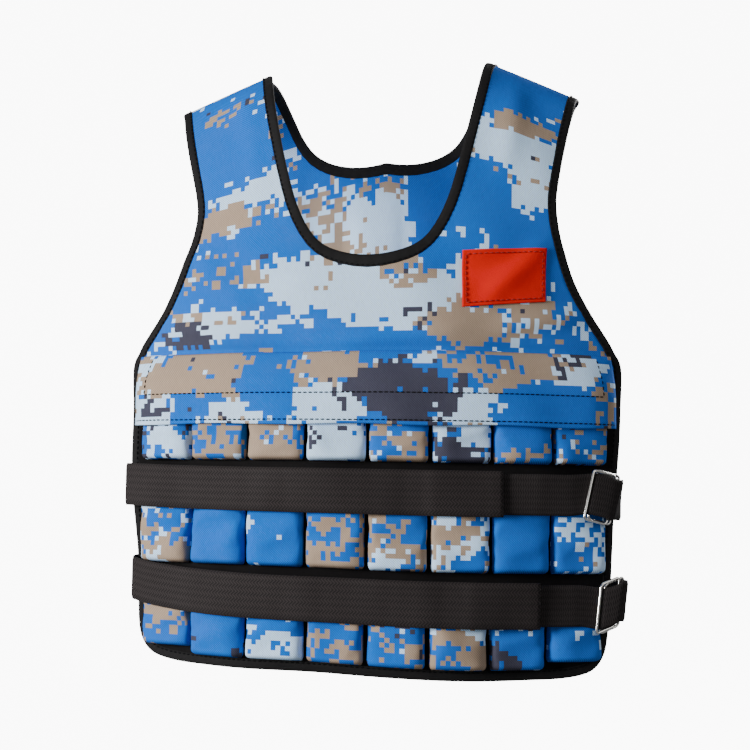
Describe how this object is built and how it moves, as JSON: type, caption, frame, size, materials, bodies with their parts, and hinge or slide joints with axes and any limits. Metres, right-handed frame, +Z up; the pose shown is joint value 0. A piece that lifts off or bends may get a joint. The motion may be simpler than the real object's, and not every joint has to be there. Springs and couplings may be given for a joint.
{
  "type": "weighted vest",
  "caption": "Sleeveless weighted training vest with rows of filled pockets under a flap, bound edges and waist belts drawn through wire rings.",
  "frame": {"origin": "midway between the shoulder straps, at the crest of their arch", "axes": "+Z up, the front faces -Y, +X towards the wearer's left"},
  "size_m": [0.4659, 0.2448, 0.5821],
  "materials": {
    "camouflage_cloth": "printed twill in blocky blue, pale blue, tan and dark grey camouflage",
    "black_cloth": "plain black backing cloth",
    "binding_tape": "black twill edge tape with a slight sheen",
    "belt_webbing": "black ribbed elastic webbing",
    "red_cloth": "plain red woven patch",
    "ring_wire": "bright nickel-plated wire"
  },
  "bodies": {
    "root": {"front_yoke": "camouflage_cloth", "front_flap": "camouflage_cloth", "pocket_upper_1": "camouflage_cloth", "pocket_upper_2": "camouflage_cloth", "pocket_upper_3": "camouflage_cloth", "pocket_upper_4": "camouflage_cloth", "pocket_upper_5": "camouflage_cloth", "pocket_upper_6": "camouflage_cloth", "pocket_upper_7": "camouflage_cloth", "pocket_upper_8": "camouflage_cloth", "pocket_middle_1": "camouflage_cloth", "pocket_middle_2": "camouflage_cloth", "pocket_middle_3": "camouflage_cloth", "pocket_middle_4": "camouflage_cloth", "pocket_middle_5": "camouflage_cloth", "pocket_middle_6": "camouflage_cloth", "pocket_middle_7": "camouflage_cloth", "pocket_middle_8": "camouflage_cloth", "pocket_lower_1": "camouflage_cloth", "pocket_lower_2": "camouflage_cloth", "pocket_lower_3": "camouflage_cloth", "pocket_lower_4": "camouflage_cloth", "pocket_lower_5": "camouflage_cloth", "pocket_lower_6": "camouflage_cloth", "pocket_lower_7": "camouflage_cloth", "pocket_lower_8": "camouflage_cloth", "back_yoke": "camouflage_cloth", "back_flap": "camouflage_cloth", "back_pockets_upper": "camouflage_cloth", "back_pockets_middle": "camouflage_cloth", "back_pockets_lower": "camouflage_cloth", "front_base": "black_cloth", "back_base": "black_cloth", "neck_binding": "binding_tape", "edge_binding": "binding_tape", "upper_belt": "belt_webbing", "upper_ring_strap": "belt_webbing", "lower_belt": "belt_webbing", "lower_ring_strap": "belt_webbing", "chest_patch": "red_cloth", "upper_ring_front": "ring_wire", "upper_ring_rear": "ring_wire", "lower_ring_front": "ring_wire", "lower_ring_rear": "ring_wire"}
  },
  "joints": []
}
